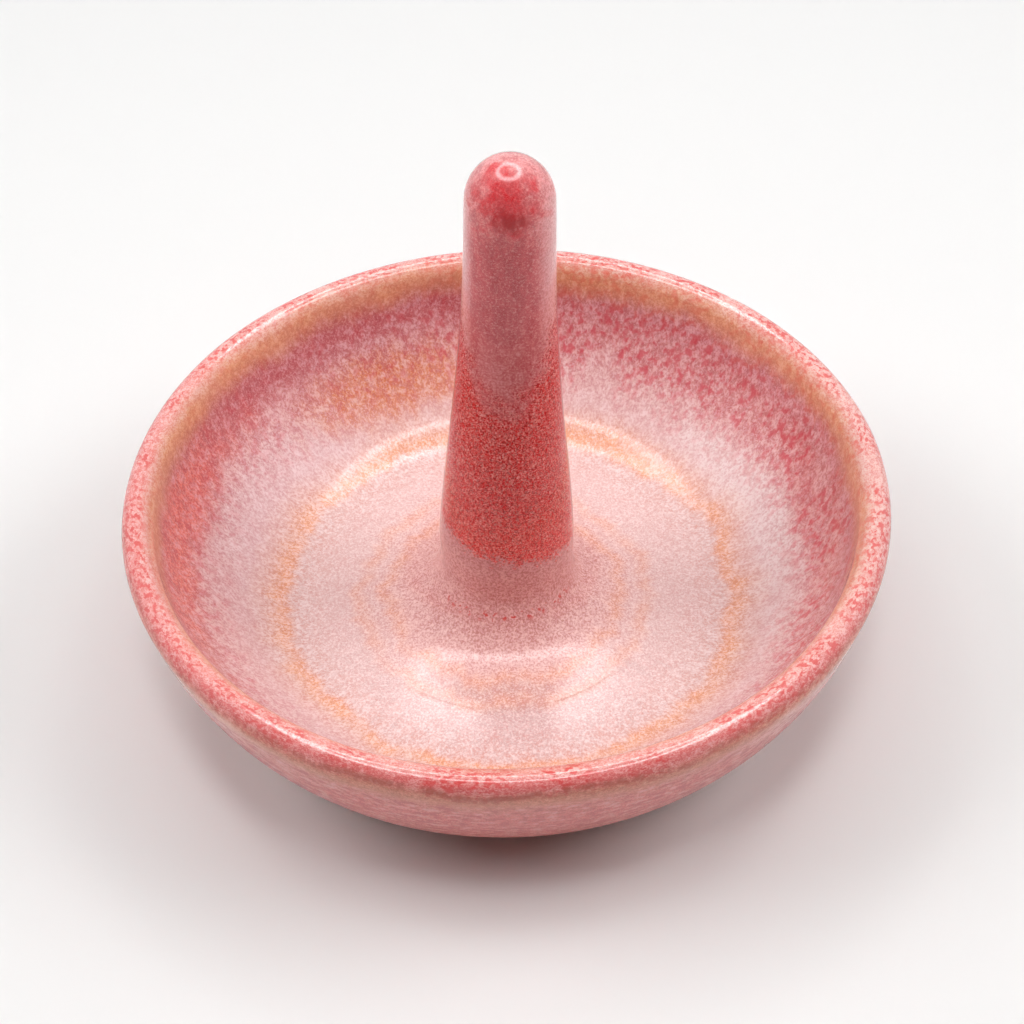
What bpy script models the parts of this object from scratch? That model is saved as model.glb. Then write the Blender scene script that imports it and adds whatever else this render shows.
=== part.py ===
"""Ring dish: a thrown stoneware dish with a rolled rim and an upright post for finger rings.

Metres, +Z up. The origin is on the table, under the middle of the dish. +Y points away from
the viewer and the post leans a little towards +X, as a hand-set post does.

The four clay parts are joined with slip, which stays as a thin gap between the solids:
the dish, the foot ring under it, the ring post, and the collar of clay that holds the post.
"""

import math

import bpy
from mathutils import Matrix

# Whole part
DISH_RADIUS = 0.0520
TOTAL_HEIGHT = 0.0817

# Dish
DISH_HEIGHT = 0.0294
WALL_RUN = 0.01866
RIM_WIDTH = 0.00434
RIM_ROLL_HEIGHT = 0.0026
FLOOR_THICKNESS = 0.0049
FLOOR_RISE = 0.0003
CORNER_RADIUS = 0.0124
CORNER_TURN = math.radians(38.0)

# Foot ring
FOOT_STEP = 0.0020
FOOT_WIDTH = 0.0050
FOOT_STAND = 0.0026
FOOT_SEAT_DEPTH = 0.0010
FOOT_EDGE_RADIUS = 0.0010
FOOT_LAND = 0.0006

# Ring post
POST_BASE_RADIUS = 0.0093
POST_TOP_RADIUS = 0.0056
POST_DOME_HEIGHT = 0.0060
POST_LEAN = math.radians(1.7)
ROOT_RADIUS = 0.0064

# Collar round the post
COLLAR_HEIGHT = 0.0132
COLLAR_SPREAD = 0.0117
COLLAR_SEAT_DEPTH = 0.0012

# Fits
SLIP_GAP = 0.0003
CUT_OVERRUN = 0.0020
MERGE_DISTANCE = 0.00001

# Shapes of the outlines, as shares of the run and the drop of the curve that they belong to
RIM_CREST_SHARE = 0.545
INNER_WALL_TOP_SHARES = (0.054, 0.39)
INNER_WALL_FOOT_SHARE = 0.35
OUTER_WALL_TOP_SHARES = (0.118, 0.488)
OUTER_WALL_FOOT_SHARES = (0.466, 0.992)
POST_TOP_SHARES = (0.027, 0.467)
POST_BASE_SHARES = (0.757, 0.722)
COLLAR_TOP_SHARES = (0.0, 0.83)
COLLAR_TOE_SHARES = (0.01, 0.87)

# Smoothness of the turned outlines
DISH_STEPS = 80
POST_STEPS = 40
FLOOR_POINTS = 3
CORNER_POINTS = 4
WALL_POINTS = 8
RIM_POINTS = 5
OUTER_POINTS = 11
SHAFT_POINTS = 13
DOME_POINTS = 7
COLLAR_POINTS = 11
EDGE_POINTS = 3
SHARP_ANGLE = math.radians(35.0)

# Heights above the table and radii from the axis that the pieces share
RIM_INNER_RADIUS = DISH_RADIUS - RIM_WIDTH
FLOOR_RADIUS = RIM_INNER_RADIUS - WALL_RUN
FOOT_RADIUS = FLOOR_RADIUS + FOOT_STEP
UNDERSIDE_Z = FOOT_STAND
FLOOR_Z = UNDERSIDE_Z + FLOOR_THICKNESS
RIM_SIDE_Z = DISH_HEIGHT - RIM_ROLL_HEIGHT
COLLAR_TOE_RADIUS = POST_BASE_RADIUS + COLLAR_SPREAD
SEAT_RADIUS = COLLAR_TOE_RADIUS + SLIP_GAP
SEAT_Z = FLOOR_Z - COLLAR_SEAT_DEPTH
SHOULDER_Z = FLOOR_Z + COLLAR_HEIGHT
POST_TIP_Z = TOTAL_HEIGHT


def between(start, end, shares):
    """A point part of the way from start to end, with one share for the run and one for the drop."""
    return (start[0] + (end[0] - start[0]) * shares[0], start[1] + (end[1] - start[1]) * shares[1])


def curve(start, start_handle, end_handle, end, steps):
    """Points along a cubic curve, both ends included."""
    points = []
    for step in range(steps + 1):
        t = step / steps
        weights = ((1 - t) ** 3, 3 * t * (1 - t) ** 2, 3 * t ** 2 * (1 - t), t ** 3)
        corners = (start, start_handle, end_handle, end)
        radius = sum(weight * corner[0] for weight, corner in zip(weights, corners))
        height = sum(weight * corner[1] for weight, corner in zip(weights, corners))
        points.append((radius, height))
    return points


def arc(centre, half_width, half_height, first_angle, last_angle, steps):
    """Points along part of an ellipse, angles from +radius towards +height, both ends included."""
    points = []
    for step in range(steps + 1):
        angle = first_angle + (last_angle - first_angle) * step / steps
        radius = centre[0] + half_width * math.cos(angle)
        height = centre[1] + half_height * math.sin(angle)
        points.append((radius, height))
    return points


def joined(*runs):
    """One outline from several runs of points, without the points where two runs meet twice."""
    outline = []
    for run in runs:
        for point in run:
            if not outline or math.dist(point, outline[-1]) > MERGE_DISTANCE:
                outline.append(point)
    return outline


def dish_outline():
    """From the middle of the post's seat out over the floor, the wall and the rim, and back below."""
    seat = [(0.0, SEAT_Z), (SEAT_RADIUS, SEAT_Z)]

    floor = []
    for step in range(FLOOR_POINTS + 1):
        share = 1 - step / FLOOR_POINTS
        radius = FLOOR_RADIUS - (FLOOR_RADIUS - SEAT_RADIUS) * share
        floor.append((radius, FLOOR_Z + FLOOR_RISE * share ** 2))

    corner_centre = (FLOOR_RADIUS, FLOOR_Z + CORNER_RADIUS)
    bottom = math.radians(-90.0)
    corner = arc(corner_centre, CORNER_RADIUS, CORNER_RADIUS, bottom, bottom + CORNER_TURN, CORNER_POINTS)

    wall_foot = corner[-1]
    wall_top = (RIM_INNER_RADIUS, RIM_SIDE_Z)
    reach = INNER_WALL_FOOT_SHARE * math.dist(wall_foot, wall_top)
    foot_handle = (wall_foot[0] + reach * math.cos(CORNER_TURN), wall_foot[1] + reach * math.sin(CORNER_TURN))
    top_handle = between(wall_top, wall_foot, INNER_WALL_TOP_SHARES)
    inner_wall = curve(wall_foot, foot_handle, top_handle, wall_top, WALL_POINTS)

    crest_run = RIM_WIDTH * RIM_CREST_SHARE
    crest_centre = (RIM_INNER_RADIUS + crest_run, RIM_SIDE_Z)
    straight_up = math.radians(90.0)
    rim_inside = arc(crest_centre, crest_run, RIM_ROLL_HEIGHT, math.pi, straight_up, RIM_POINTS)
    rim_outside = arc(crest_centre, RIM_WIDTH - crest_run, RIM_ROLL_HEIGHT, straight_up, 0.0, RIM_POINTS)

    outer_top = (DISH_RADIUS, RIM_SIDE_Z)
    outer_foot = (FOOT_RADIUS + SLIP_GAP + FOOT_LAND, UNDERSIDE_Z)
    outer_wall = curve(
        outer_top,
        between(outer_top, outer_foot, OUTER_WALL_TOP_SHARES),
        between(outer_top, outer_foot, OUTER_WALL_FOOT_SHARES),
        outer_foot,
        OUTER_POINTS,
    )

    groove_z = UNDERSIDE_Z + FOOT_SEAT_DEPTH
    groove_outside = FOOT_RADIUS + SLIP_GAP
    groove_inside = FOOT_RADIUS - FOOT_WIDTH - SLIP_GAP
    groove = [
        (groove_outside, UNDERSIDE_Z),
        (groove_outside, groove_z),
        (groove_inside, groove_z),
        (groove_inside, UNDERSIDE_Z),
        (0.0, UNDERSIDE_Z),
    ]
    return joined(seat, floor, corner, inner_wall, rim_inside, rim_outside, outer_wall, groove)


def foot_outline():
    """Round the section of the foot ring: down its outer side, in below, and up again."""
    top_z = UNDERSIDE_Z + FOOT_SEAT_DEPTH - SLIP_GAP
    inner_radius = FOOT_RADIUS - FOOT_WIDTH
    level = math.radians(0.0)
    down = math.radians(-90.0)
    back = math.radians(-180.0)
    outer_centre = (FOOT_RADIUS - FOOT_EDGE_RADIUS, FOOT_EDGE_RADIUS)
    inner_centre = (inner_radius + FOOT_EDGE_RADIUS, FOOT_EDGE_RADIUS)
    outer_edge = arc(outer_centre, FOOT_EDGE_RADIUS, FOOT_EDGE_RADIUS, level, down, EDGE_POINTS)
    inner_edge = arc(inner_centre, FOOT_EDGE_RADIUS, FOOT_EDGE_RADIUS, down, back, EDGE_POINTS)
    return joined([(FOOT_RADIUS, top_z)], outer_edge, inner_edge, [(inner_radius, top_z)])


def post_outline(grow, root_z):
    """The post from its tip down, with every side moved out by grow and its root ending at root_z."""
    dome_centre = (0.0, POST_TIP_Z - POST_DOME_HEIGHT)
    dome_width = POST_TOP_RADIUS + grow
    dome_height = POST_DOME_HEIGHT + grow
    dome = arc(dome_centre, dome_width, dome_height, math.radians(90.0), 0.0, DOME_POINTS)
    shaft_top = (POST_TOP_RADIUS + grow, dome_centre[1])
    shaft_foot = (POST_BASE_RADIUS + grow, SHOULDER_Z - grow)
    shaft = curve(
        shaft_top,
        between(shaft_top, shaft_foot, POST_TOP_SHARES),
        between(shaft_top, shaft_foot, POST_BASE_SHARES),
        shaft_foot,
        SHAFT_POINTS,
    )
    root_radius = ROOT_RADIUS + grow
    root = [(root_radius, SHOULDER_Z - grow), (root_radius, root_z), (0.0, root_z)]
    return joined(dome, shaft, root)


def collar_outline():
    """The collar before the post's hole is cut, from above the post's shoulder to the toe."""
    top_z = SHOULDER_Z + CUT_OVERRUN
    flare_top = (POST_BASE_RADIUS, SHOULDER_Z)
    flare_toe = (COLLAR_TOE_RADIUS, FLOOR_Z + FLOOR_RISE)
    flare = curve(
        flare_top,
        between(flare_top, flare_toe, COLLAR_TOP_SHARES),
        between(flare_top, flare_toe, COLLAR_TOE_SHARES),
        flare_toe,
        COLLAR_POINTS,
    )
    under_z = SEAT_Z + SLIP_GAP
    return joined([(0.0, top_z), (POST_BASE_RADIUS, top_z)], flare, [(COLLAR_TOE_RADIUS, under_z), (0.0, under_z)])


def new_collection(name):
    collection = bpy.data.collections.new(name)
    bpy.context.scene.collection.children.link(collection)
    return collection


def finish(name, colour, roughness):
    material = bpy.data.materials.new(name)
    material.use_nodes = True
    shader = material.node_tree.nodes["Principled BSDF"]
    shader.inputs["Base Color"].default_value = colour
    shader.inputs["Roughness"].default_value = roughness
    shader.inputs["Metallic"].default_value = 0.0
    return material


def turned(name, outline, closed, steps, collection):
    """A turned piece: its outline in the XZ plane, swept once round the Z axis."""
    vertices = [(radius, 0.0, height) for radius, height in outline]
    edges = [(index, index + 1) for index in range(len(vertices) - 1)]
    if closed:
        edges.append((len(vertices) - 1, 0))
    mesh = bpy.data.meshes.new(name)
    mesh.from_pydata(vertices, edges, [])
    piece = bpy.data.objects.new(name, mesh)
    collection.objects.link(piece)
    screw = piece.modifiers.new("turn", "SCREW")
    screw.axis = "Z"
    screw.steps = steps
    screw.render_steps = steps
    screw.use_merge_vertices = True
    screw.merge_threshold = MERGE_DISTANCE
    return piece


def settle(piece, material):
    """Turns a piece's modifiers into its mesh, shades it smooth and gives it its material."""
    graph = bpy.context.evaluated_depsgraph_get()
    mesh = bpy.data.meshes.new_from_object(piece.evaluated_get(graph))
    mesh.name = piece.name
    piece.modifiers.clear()
    piece.data = mesh
    mesh.materials.clear()
    mesh.materials.append(material)
    mesh.shade_smooth()
    mesh.set_sharp_from_angle(angle=SHARP_ANGLE)


def lean(piece):
    """Tips a piece about the middle of the post's shoulder, where it stands on the collar."""
    piece.data.transform(Matrix.Translation((0.0, 0.0, -SHOULDER_Z)))
    piece.location.z = SHOULDER_Z
    piece.rotation_euler.y = POST_LEAN


def build():
    for old in list(bpy.data.objects):
        bpy.data.objects.remove(old, do_unlink=True)
    parts = new_collection("ring_dish")
    cutters = new_collection("cutters")

    pink_glaze = finish("pink_glaze", (0.70, 0.38, 0.36, 1.0), 0.12)
    crimson_glaze = finish("crimson_glaze", (0.50, 0.06, 0.07, 1.0), 0.12)
    mauve_glaze = finish("mauve_glaze", (0.52, 0.27, 0.28, 1.0), 0.14)
    bare_stoneware = finish("bare_stoneware", (0.62, 0.47, 0.33, 1.0), 0.80)

    dish = turned("dish", dish_outline(), False, DISH_STEPS, parts)
    settle(dish, pink_glaze)

    foot_ring = turned("foot_ring", foot_outline(), True, DISH_STEPS, parts)
    settle(foot_ring, bare_stoneware)

    root_drop = ROOT_RADIUS * math.sin(POST_LEAN)
    ring_post = turned("ring_post", post_outline(0.0, SEAT_Z + SLIP_GAP + root_drop), False, POST_STEPS, parts)
    lean(ring_post)
    settle(ring_post, crimson_glaze)

    post_cutter = turned("post_cutter", post_outline(SLIP_GAP, SEAT_Z - CUT_OVERRUN), False, POST_STEPS, cutters)
    lean(post_cutter)
    post_cutter.hide_render = True
    post_cutter.display_type = "WIRE"

    post_collar = turned("post_collar", collar_outline(), False, POST_STEPS, parts)
    hole = post_collar.modifiers.new("post_hole", "BOOLEAN")
    hole.operation = "DIFFERENCE"
    hole.solver = "EXACT"
    hole.object = post_cutter
    settle(post_collar, mauve_glaze)


build()
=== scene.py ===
import math

import bmesh
import bpy
from mathutils import Matrix, Vector, noise


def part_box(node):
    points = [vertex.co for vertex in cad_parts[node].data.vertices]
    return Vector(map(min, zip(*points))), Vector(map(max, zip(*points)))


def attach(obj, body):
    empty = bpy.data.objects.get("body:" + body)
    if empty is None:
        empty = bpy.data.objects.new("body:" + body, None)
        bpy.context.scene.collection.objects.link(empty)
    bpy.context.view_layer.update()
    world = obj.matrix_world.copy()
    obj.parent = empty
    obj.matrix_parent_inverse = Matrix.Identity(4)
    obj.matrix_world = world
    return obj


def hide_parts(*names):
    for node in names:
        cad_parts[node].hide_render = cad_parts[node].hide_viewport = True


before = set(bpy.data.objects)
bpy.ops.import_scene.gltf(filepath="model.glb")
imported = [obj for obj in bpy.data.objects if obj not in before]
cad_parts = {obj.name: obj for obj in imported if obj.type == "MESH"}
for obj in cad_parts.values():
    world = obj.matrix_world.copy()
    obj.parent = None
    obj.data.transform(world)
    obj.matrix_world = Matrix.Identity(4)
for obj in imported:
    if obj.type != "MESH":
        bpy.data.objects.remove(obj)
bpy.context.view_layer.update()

# Dish with its rolled rim.
# One piece of stoneware, thrown on the wheel with a rolled rim, then dipped in a runny pink glaze
# that pools pale on the floor, stays crimson on the steep wall and breaks to orange on the edges.

# A piece's lengths are in millimetres until its finished mesh is scaled to metres
MM = 0.001
SAME_POINT = 0.001
TURN_STEPS = 96
SMOOTH_LEVELS = 2
DISH_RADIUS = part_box("dish")[1][0] / MM
DISH_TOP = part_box("dish")[1][2] / MM
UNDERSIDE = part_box("dish")[0][2] / MM
FOOT_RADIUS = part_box("foot_ring")[1][0] / MM
FLOOR_THICKNESS = 4.9
FLOOR_Z = UNDERSIDE + FLOOR_THICKNESS
FLOOR_RISE = 0.35
WALL_RUN = 18.66
RIM_WIDTH = 4.34
RIM_ROLL_HEIGHT = 2.6
CORNER_RADIUS = 12.4
CORNER_DEGREES = 38.0
COLLAR_BED_RADIUS = 20.0
COLLAR_BED_SLOPE = 2.4
COLLAR_BED_DEPTH = 1.2
FOOT_WIDTH = 5.0
FOOT_LAND = 0.9
FOOT_SEAT_DEPTH = 1.0
SLIP_GAP = 0.35
EDGE_EASE = 0.25

# Shares of the run and the drop of the curve that they shape
RIM_CREST_SHARE = 0.545
RIM_SHOULDER_SHARES = ((0.716, 0.0), (1.0, 0.385))
INNER_WALL_FOOT_SHARE = 0.35
INNER_WALL_TOP_SHARES = (0.054, 0.39)
OUTER_WALL_TOP_SHARES = (0.118, 0.488)
OUTER_WALL_FOOT_SHARES = (0.466, 0.992)

FLOOR_POINTS = 5
CORNER_POINTS = 5
WALL_POINTS = 9
RIM_POINTS = 5
RIM_SHOULDER_POINTS = 8
OUTER_POINTS = 12

# How far the potter's hand wavers, how quickly over the clay, and how both differ up and down
HAND_WAVER = 0.09
WAVER_PACE = 0.045
UPRIGHT_PACE = 1.5
UPRIGHT_SHARE = 0.6
# Without a seed the vector noise starts from the clock, and the waver would change with each run
WAVER_SEED = 1
noise.seed_set(WAVER_SEED)

# The thumb that smoothed the collar over the floor pushed its flare a little forward and left. The
# push fades out between two radii and between two heights, and leaves what is under the floor.
FLARE_PUSH = Vector((-0.8, -1.0, 0.0))
PUSH_RADII = (21.95, 29.0)
PUSH_HEIGHTS = (10.0, 15.0)
PUSH_FLOOR = 5.5


def between(start, end, shares):
    """A point part of the way from start to end, with one share for the run and one for the drop."""
    return (start[0] + (end[0] - start[0]) * shares[0], start[1] + (end[1] - start[1]) * shares[1])


def curve(start, start_handle, end_handle, end, steps):
    """Points along a cubic curve, both ends included."""
    points = []
    for step in range(steps + 1):
        t = step / steps
        weights = ((1 - t) ** 3, 3 * t * (1 - t) ** 2, 3 * t ** 2 * (1 - t), t ** 3)
        corners = (start, start_handle, end_handle, end)
        radius = sum(weight * corner[0] for weight, corner in zip(weights, corners))
        height = sum(weight * corner[1] for weight, corner in zip(weights, corners))
        points.append((radius, height))
    return points


def arc(centre, half_width, half_height, first_degrees, last_degrees, steps):
    """Points along part of an ellipse, angles from +radius towards +height, both ends included."""
    points = []
    for step in range(steps + 1):
        angle = math.radians(first_degrees + (last_degrees - first_degrees) * step / steps)
        points.append((centre[0] + half_width * math.cos(angle), centre[1] + half_height * math.sin(angle)))
    return points


def eased(points, ease):
    """The same points, each one between the ends cut back by ease towards both its neighbours."""
    line = [points[0]]
    for before, corner, after in zip(points, points[1:], points[2:]):
        for neighbour in (before, after):
            share = ease / math.dist(corner, neighbour)
            line.append(between(corner, neighbour, (share, share)))
    return line + [points[-1]]


def joined(*runs):
    """One outline from several runs of points, without the points where two runs meet twice."""
    outline = []
    for run in runs:
        outline += [point for point in run if not outline or math.dist(point, outline[-1]) > SAME_POINT]
    return outline


def thrown(name, outline, start, start_run, waver=0.0, closed=False):
    """A turned clay piece, spun once round the upright axis.

    Its run attribute holds the distance in millimetres along the outline, start_run at point start.
    """
    shape = bmesh.new()
    run = shape.verts.layers.float.new("run")
    line = [shape.verts.new((radius, 0.0, height)) for radius, height in outline]
    for near, far in zip(line, line[1:]):
        shape.edges.new((near, far))
    if closed:
        shape.edges.new((line[-1], line[0]))
    lengths = [0.0]
    for near, far in zip(line, line[1:]):
        lengths.append(lengths[-1] + (far.co - near.co).length)
    for vertex, length in zip(line, lengths):
        vertex[run] = start_run + length - lengths[start]
    bmesh.ops.spin(
        shape, geom=shape.verts[:] + shape.edges[:], cent=(0, 0, 0), axis=(0, 0, 1),
        angle=math.tau, steps=TURN_STEPS, use_merge=True, use_duplicate=False,
    )
    bmesh.ops.remove_doubles(shape, verts=shape.verts, dist=SAME_POINT)
    bmesh.ops.recalc_face_normals(shape, faces=shape.faces)
    for vertex in shape.verts:
        x, y, z = vertex.co
        drift = noise.noise_vector(Vector((x, y, z * UPRIGHT_PACE)) * WAVER_PACE)
        vertex.co += Vector((drift.x, drift.y, drift.z * UPRIGHT_SHARE)) * waver
    bmesh.ops.scale(shape, vec=(MM, MM, MM), verts=shape.verts)
    mesh = bpy.data.meshes.new(name)
    shape.to_mesh(mesh)
    shape.free()
    mesh.shade_smooth()
    piece = bpy.data.objects.new(name, mesh)
    bpy.context.scene.collection.objects.link(piece)
    smooth = piece.modifiers.new("smooth", "SUBSURF")
    smooth.levels = SMOOTH_LEVELS
    smooth.render_levels = SMOOTH_LEVELS
    return piece


def pushed(piece):
    """Move the flare and the floor just round it to where the thumb left them."""
    for vertex in piece.data.vertices:
        x, y, z = vertex.co / MM
        near = (PUSH_RADII[1] - math.hypot(x, y)) / (PUSH_RADII[1] - PUSH_RADII[0])
        low = (PUSH_HEIGHTS[1] - z) / (PUSH_HEIGHTS[1] - PUSH_HEIGHTS[0])
        if z > PUSH_FLOOR:
            vertex.co += FLARE_PUSH * MM * min(max(near, 0.0), 1.0) * min(max(low, 0.0), 1.0)


def shader_node(tree, kind, inputs=None, **settings):
    """A node with its settings; each input is joined to a socket or set to a value."""
    node = tree.nodes.new(kind)
    for name, value in settings.items():
        setattr(node, name, value)
    for key, value in (inputs or {}).items():
        if isinstance(value, bpy.types.NodeSocket):
            tree.links.new(value, node.inputs[key])
        else:
            node.inputs[key].default_value = value
    return node


def calc(tree, operation, *values):
    return shader_node(tree, "ShaderNodeMath", dict(enumerate(values)), operation=operation).outputs[0]


def product(tree, *values):
    total = values[0]
    for value in values[1:]:
        total = calc(tree, "MULTIPLY", total, value)
    return total


NOISE_MIDDLE = 0.5


def centred(tree, value, height):
    """A noise value moved to swing round zero, height from lowest to highest."""
    return product(tree, calc(tree, "SUBTRACT", value, NOISE_MIDDLE), height)


def away_from(tree, value, middle):
    return calc(tree, "ABSOLUTE", calc(tree, "SUBTRACT", value, middle))


def vector_calc(tree, operation, *values):
    node = shader_node(tree, "ShaderNodeVectorMath", dict(enumerate(values)), operation=operation)
    return node.outputs["Value" if operation in {"DOT_PRODUCT", "LENGTH"} else "Vector"]


def scaled(tree, vector, factor):
    inputs = {0: vector, "Scale": factor}
    return shader_node(tree, "ShaderNodeVectorMath", inputs, operation="SCALE").outputs[0]


def fade(tree, value, low, high, at_low=0.0, at_high=1.0):
    """A soft step: at_low up to low, at_high from high."""
    inputs = {"Value": value, "From Min": low, "From Max": high, "To Min": at_low, "To Max": at_high}
    return shader_node(tree, "ShaderNodeMapRange", inputs, interpolation_type="SMOOTHSTEP").outputs[0]


def grain(tree, place, scale, detail=1.0, distortion=0.0):
    inputs = {"Vector": place, "Scale": scale, "Detail": detail, "Distortion": distortion}
    return shader_node(tree, "ShaderNodeTexNoise", inputs).outputs["Fac"]


THREAD_CORE = 0.25


def threads(tree, place, scale, width):
    """Thin curly lines where a distorted noise crosses its middle value."""
    off_middle = away_from(tree, grain(tree, place, scale, distortion=1.0), NOISE_MIDDLE)
    return fade(tree, off_middle, width, width * THREAD_CORE)


# What a Mix node mixes: its data type, then the places of its two inputs and of its output
NUMBERS = ("FLOAT", 2, 3, 0)
VECTORS = ("VECTOR", 4, 5, 1)
COLOURS = ("RGBA", 6, 7, 2)


def blend(tree, share, under, over, mixed=COLOURS):
    """Under where share is 0, over where it is 1."""
    data_type, under_at, over_at, result_at = mixed
    inputs = {0: share, under_at: under, over_at: over}
    return shader_node(tree, "ShaderNodeMix", inputs, data_type=data_type).outputs[result_at]


# Every list of stops lies within this span of the run, in millimetres
RUN_SPAN = (-70.0, 110.0)


def along_run(tree, run, stops):
    """A colour ramp whose stops are given in millimetres of run, with their alpha as an amount."""
    low, high = RUN_SPAN
    inputs = {"Value": run, "From Min": low, "From Max": high}
    share = shader_node(tree, "ShaderNodeMapRange", inputs).outputs[0]
    node = shader_node(tree, "ShaderNodeValToRGB", {"Fac": share})
    ramp = node.color_ramp
    while len(ramp.elements) < len(stops):
        ramp.elements.new(1.0)
    for element, (millimetres, colour) in zip(ramp.elements, stops):
        element.position = (millimetres - low) / (high - low)
        element.color = colour
    return node


def amount_along_run(tree, run, stops):
    """As along_run, for one plain number at each stop."""
    grey_stops = [(millimetres, (value, value, value, 1)) for millimetres, value in stops]
    return along_run(tree, run, grey_stops).outputs["Color"]


def tinted(tree, amount, under, tone):
    """The colour under, with a tone of along_run over it by amount times the tone's own alpha."""
    share = product(tree, amount, tone.outputs["Alpha"])
    return blend(tree, share, under, tone.outputs["Color"])


def new_group(name, inputs, outputs):
    """A node group, with its input and output nodes; inputs and outputs are names and kinds."""
    tree = bpy.data.node_groups.new(name, "ShaderNodeTree")
    for socket_name, kind in inputs:
        tree.interface.new_socket(socket_name, in_out="INPUT", socket_type=kind)
    for socket_name, kind in outputs:
        tree.interface.new_socket(socket_name, in_out="OUTPUT", socket_type=kind)
    return tree, tree.nodes.new("NodeGroupInput"), tree.nodes.new("NodeGroupOutput")


# A flush: a ragged patch of another colour, at one side of the dish and one place on the run. Most are
# glaze colours; a few are painted shade, sheen or reflection.
# It is gone at the first share of its reach and full at the second.
FLUSH_EDGE = (1.15, 0.35)
flush, flush_in, flush_out = new_group(
    "flush",
    [
        ("Turn", "NodeSocketVector"), ("Run", "NodeSocketFloat"), ("Ragged", "NodeSocketFloat"),
        ("Towards", "NodeSocketVector"), ("Edge", "NodeSocketFloat"), ("Middle", "NodeSocketFloat"),
        ("Reach", "NodeSocketFloat"),
    ],
    [("Mask", "NodeSocketFloat")],
)
facing = vector_calc(flush, "DOT_PRODUCT", flush_in.outputs["Turn"], flush_in.outputs["Towards"])
aside = calc(flush, "DIVIDE", calc(flush, "SUBTRACT", 1.0, facing), flush_in.outputs["Edge"])
off_height = calc(flush, "SUBTRACT", flush_in.outputs["Run"], flush_in.outputs["Middle"])
away = calc(flush, "DIVIDE", off_height, flush_in.outputs["Reach"])
squares = calc(flush, "ADD", calc(flush, "ABSOLUTE", aside), product(flush, away, away))
distance = calc(flush, "SQRT", squares)
torn = calc(flush, "ADD", distance, centred(flush, flush_in.outputs["Ragged"], 1.0))
flush.links.new(fade(flush, torn, *FLUSH_EDGE), flush_out.inputs["Mask"])


def flush_mask(tree, turn, run, ragged, degrees, half_width, middle, reach):
    """Where a flush shows; half_width is in degrees too, middle and reach in millimetres of run."""
    node = tree.nodes.new("ShaderNodeGroup")
    node.node_tree = flush
    for name, socket in (("Turn", turn), ("Run", run), ("Ragged", ragged)):
        tree.links.new(socket, node.inputs[name])
    angle = math.radians(degrees)
    node.inputs["Towards"].default_value = (math.cos(angle), math.sin(angle), 0.0)
    node.inputs["Edge"].default_value = 1.0 - math.cos(math.radians(half_width))
    node.inputs["Middle"].default_value = middle
    node.inputs["Reach"].default_value = reach
    return node.outputs["Mask"]


# Stops along the run in millimetres: collar, floor, pale pool, crimson wall, rim, broken line and
# outer wall, darkening towards the foot, partly darker glaze and partly painted shade under the dish. The
# alpha of the orange, dark and pale lists says how strong that tone is there.
GROUND = [
    (-2.0, (0.66, 0.30, 0.30, 1)), (8.0, (0.66, 0.33, 0.32, 1)), (15.0, (0.78, 0.47, 0.45, 1)),
    (21.0, (0.76, 0.53, 0.51, 1)), (30.0, (0.76, 0.54, 0.52, 1)), (36.5, (0.81, 0.56, 0.54, 1)),
    (42.0, (0.82, 0.53, 0.51, 1)), (47.0, (0.76, 0.38, 0.37, 1)), (54.0, (0.67, 0.24, 0.25, 1)),
    (57.5, (0.74, 0.31, 0.26, 1)), (60.4, (0.94, 0.47, 0.40, 1)), (62.2, (0.93, 0.46, 0.42, 1)),
    (63.2, (0.90, 0.32, 0.30, 1)), (64.2, (0.76, 0.17, 0.14, 1)), (65.0, (0.72, 0.22, 0.15, 1)),
    (66.4, (0.76, 0.24, 0.19, 1)), (68.5, (0.78, 0.20, 0.19, 1)), (71.0, (0.78, 0.16, 0.16, 1)),
    # The last three stops darken the outer wall down to the foot: partly darker glaze, partly painted shade
    # under the dish
    (88.0, (0.66, 0.18, 0.16, 1)), (93.0, (0.34, 0.12, 0.08, 1)), (100.0, (0.20, 0.10, 0.07, 1)),
]
ORANGE = [
    (14.8, (0.84, 0.40, 0.26, 0.0)), (16.4, (0.78, 0.34, 0.20, 0.80)), (18.0, (0.84, 0.40, 0.26, 0.0)),
    (18.8, (0.84, 0.40, 0.26, 0.0)), (20.4, (0.78, 0.34, 0.20, 0.65)), (22.0, (0.84, 0.40, 0.26, 0.0)),
    (30.8, (0.78, 0.30, 0.14, 0.0)), (32.2, (0.88, 0.38, 0.18, 0.98)), (33.6, (0.88, 0.43, 0.24, 0.80)),
    (35.0, (0.84, 0.42, 0.27, 0.4)), (38.2, (0.84, 0.42, 0.27, 0.0)), (54.6, (0.68, 0.24, 0.10, 0.0)),
    (56.8, (0.80, 0.32, 0.16, 0.85)), (58.9, (0.90, 0.43, 0.22, 0.9)), (60.6, (0.92, 0.50, 0.30, 0.0)),
]
DARK = [
    (-2.0, (0.40, 0.10, 0.09, 0.58)), (10.0, (0.46, 0.13, 0.11, 0.58)), (17.0, (0.60, 0.22, 0.19, 0.48)),
    (24.0, (0.68, 0.29, 0.27, 0.36)), (33.0, (0.70, 0.26, 0.16, 0.50)), (38.0, (0.66, 0.28, 0.30, 0.38)),
    (46.0, (0.56, 0.12, 0.14, 0.48)), (54.0, (0.46, 0.08, 0.09, 0.48)), (58.0, (0.66, 0.22, 0.12, 0.40)),
    (61.0, (0.82, 0.18, 0.16, 0.55)), (63.4, (0.66, 0.08, 0.08, 0.60)), (64.6, (0.50, 0.16, 0.09, 0.50)),
    # The last stops darken towards the foot, partly darker glaze and partly painted shade under the dish
    (71.0, (0.52, 0.14, 0.12, 0.55)), (93.0, (0.38, 0.10, 0.08, 0.55)), (96.0, (0.14, 0.06, 0.04, 0.5)),
]
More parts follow.
